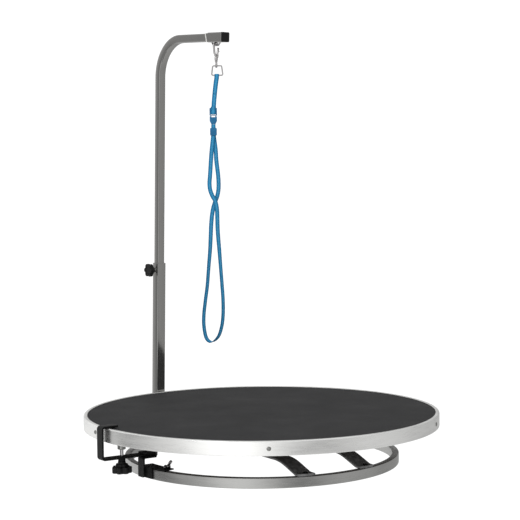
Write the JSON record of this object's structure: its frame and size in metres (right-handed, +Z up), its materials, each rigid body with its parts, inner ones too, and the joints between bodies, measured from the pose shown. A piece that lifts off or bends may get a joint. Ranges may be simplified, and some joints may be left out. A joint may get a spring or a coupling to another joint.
{
  "type": "pet grooming table",
  "caption": "Round low pet grooming table with a turning top, a clamp that locks it, and a telescoping arm with a noose on a snap hook.",
  "frame": {"origin": "on the floor, on the axis that the tabletop turns about", "axes": "+Z up; the front is -Y; the pole stands at the back left and its arm points over the middle"},
  "size_m": [0.81, 0.8113, 0.9966],
  "materials": {
    "satin_steel": "satin, brushed along the ring",
    "brushed_rim": "brushed",
    "mat_rubber": "fine pebbled grain",
    "plywood": "bare",
    "black_coat": "textured powder coat",
    "zinc": "zinc plated",
    "chrome": "polished",
    "pole_steel": "gloss grey",
    "black_plastic": "moulded",
    "nylon": "natural",
    "webbing": "woven",
    "blue_plastic": "moulded",
    "light_band": "satin"
  },
  "bodies": {
    "base": {"base_ring": "satin_steel", "support_bar_left": "black_coat", "support_bar_right": "black_coat", "bar_foot_bolt_1": "black_coat", "bar_foot_bolt_2": "black_coat", "bar_foot_bolt_3": "black_coat", "bar_foot_bolt_4": "black_coat", "lower_bearing_plate": "zinc", "bearing_pedestal": "zinc", "bearing_slide_ring": "nylon", "lock_c_frame": "black_coat", "lock_nut": "black_coat", "lock_bracket": "black_coat", "lock_top_plate": "black_coat", "lock_bracket_bolt": "black_coat", "lock_sleeve": "black_coat", "lever_pin": "chrome", "pole_bracket": "black_coat", "pole_bracket_bolt_1": "black_coat", "pole_bracket_bolt_2": "black_coat", "pole_socket_screw": "zinc", "pole_lower_tube": "pole_steel", "pole_foot_plug": "black_plastic", "pole_guide_bush": "nylon", "arm_knob_nut": "zinc"},
    "tabletop": {"tabletop_board": "plywood", "top_mat": "mat_rubber", "edge_band": "brushed_rim", "edge_band_screw_1": "zinc", "edge_band_screw_2": "zinc", "edge_band_screw_3": "zinc", "edge_band_screw_4": "zinc", "edge_band_screw_5": "zinc", "upper_bearing_plate": "zinc", "bearing_plate_screw_1": "zinc", "bearing_plate_screw_2": "zinc", "bearing_plate_screw_3": "zinc", "pivot_bolt": "zinc", "pivot_nut": "zinc"},
    "lock_pad_carrier": {"lock_pad": "zinc"},
    "lock_screw_and_knob": {"lock_screw": "chrome", "lock_knob": "black_plastic"},
    "lever": {"sleeve_lever": "chrome"},
    "arm": {"arm_tube": "pole_steel", "arm_end_sleeve": "pole_steel", "arm_end_cap": "black_plastic", "arm_band": "light_band", "hook_bail": "chrome"},
    "arm_knob_tip_carrier": {"arm_knob_tip": "nylon"},
    "arm_knob_and_screw": {"arm_knob": "black_plastic", "arm_knob_screw": "zinc"},
    "snap_hook": {"snap_hook_body": "chrome"},
    "gate": {"snap_gate": "chrome"},
    "swivel": {"snap_swivel_eye": "chrome"},
    "ring": {"noose_ring": "chrome"},
    "hanger": {"hanger_webbing": "webbing", "buckle_male": "blue_plastic"},
    "noose_loop": {"buckle_female": "blue_plastic", "noose_webbing": "webbing"},
    "slider": {"noose_slider": "blue_plastic"}
  },
  "joints": [
    {"name": "tabletop_spin", "type": "hinge", "parent": "base", "child": "tabletop", "pos_m": [0, 0, 0.1], "axis": [0, 0, 1], "continuous": true},
    {"name": "lock_knob_turn", "type": "hinge", "parent": "lock_pad_carrier", "child": "lock_screw_and_knob", "pos_m": [-0.302, -0.20141, 0.0267], "axis": [0, 0, 1], "range_deg": [-2160, 0]},
    {"name": "lock_pad_slide", "type": "slide", "parent": "base", "child": "lock_pad_carrier", "axis": [0, 0, 1], "range_m": [-0.0075, 0]},
    {"name": "sleeve_lever_turn", "type": "hinge", "parent": "base", "child": "lever", "pos_m": [-0.20344, -0.21363, 0.0298], "axis": [0.6896, 0.7242, 0], "range_deg": [-40, 40]},
    {"name": "arm_height", "type": "slide", "parent": "base", "child": "arm", "axis": [0.0209, -0.0269, 0.9994], "range_m": [-0.12, 0.12]},
    {"name": "arm_knob_turn", "type": "hinge", "parent": "arm_knob_tip_carrier", "child": "arm_knob_and_screw", "pos_m": [-0.2529, 0.32604, 0.42206], "axis": [0.7902, 0.6129, 0], "range_deg": [-720, 0]},
    {"name": "arm_knob_slide", "type": "slide", "parent": "base", "child": "arm_knob_tip_carrier", "axis": [0.7902, 0.6129, 0], "range_m": [-0.002, 0]},
    {"name": "hook_swing", "type": "hinge", "parent": "arm", "child": "snap_hook", "pos_m": [-0.09847, 0.12695, 0.96007], "axis": [0.6129, -0.7902, 0], "range_deg": [-45, 45]},
    {"name": "gate_open", "type": "hinge", "parent": "snap_hook", "child": "gate", "pos_m": [-0.0961, 0.12879, 0.93757], "axis": [0.6129, -0.7902, 0], "range_deg": [0, 22], "stiffness_Nm_per_rad": 0.03},
    {"name": "swivel_turn", "type": "hinge", "parent": "snap_hook", "child": "swivel", "pos_m": [-0.09847, 0.12695, 0.929], "axis": [0, 0, 1], "continuous": true},
    {"name": "ring_swing", "type": "hinge", "parent": "swivel", "child": "ring", "pos_m": [-0.09647, 0.12695, 0.91247], "axis": [1, 0, 0], "range_deg": [-60, 60]},
    {"name": "noose_swing", "type": "hinge", "parent": "ring", "child": "hanger", "pos_m": [-0.09847, 0.12695, 0.89017], "axis": [1, 0, 0], "range_deg": [-60, 60]},
    {"name": "buckle_release", "type": "slide", "parent": "hanger", "child": "noose_loop", "axis": [0, 0, -1], "range_m": [0, 0.012]},
    {"name": "slider_slide", "type": "slide", "parent": "noose_loop", "child": "slider", "axis": [0, 0, 1], "range_m": [-0.018, 0], "deforming": ["noose_webbing"]}
  ],
  "couplings": [
    {"joint": "lock_knob_turn", "follows": "lock_pad_slide", "rad_per_m": 5026.5},
    {"joint": "arm_knob_turn", "follows": "arm_knob_slide", "rad_per_m": 6283}
  ]
}
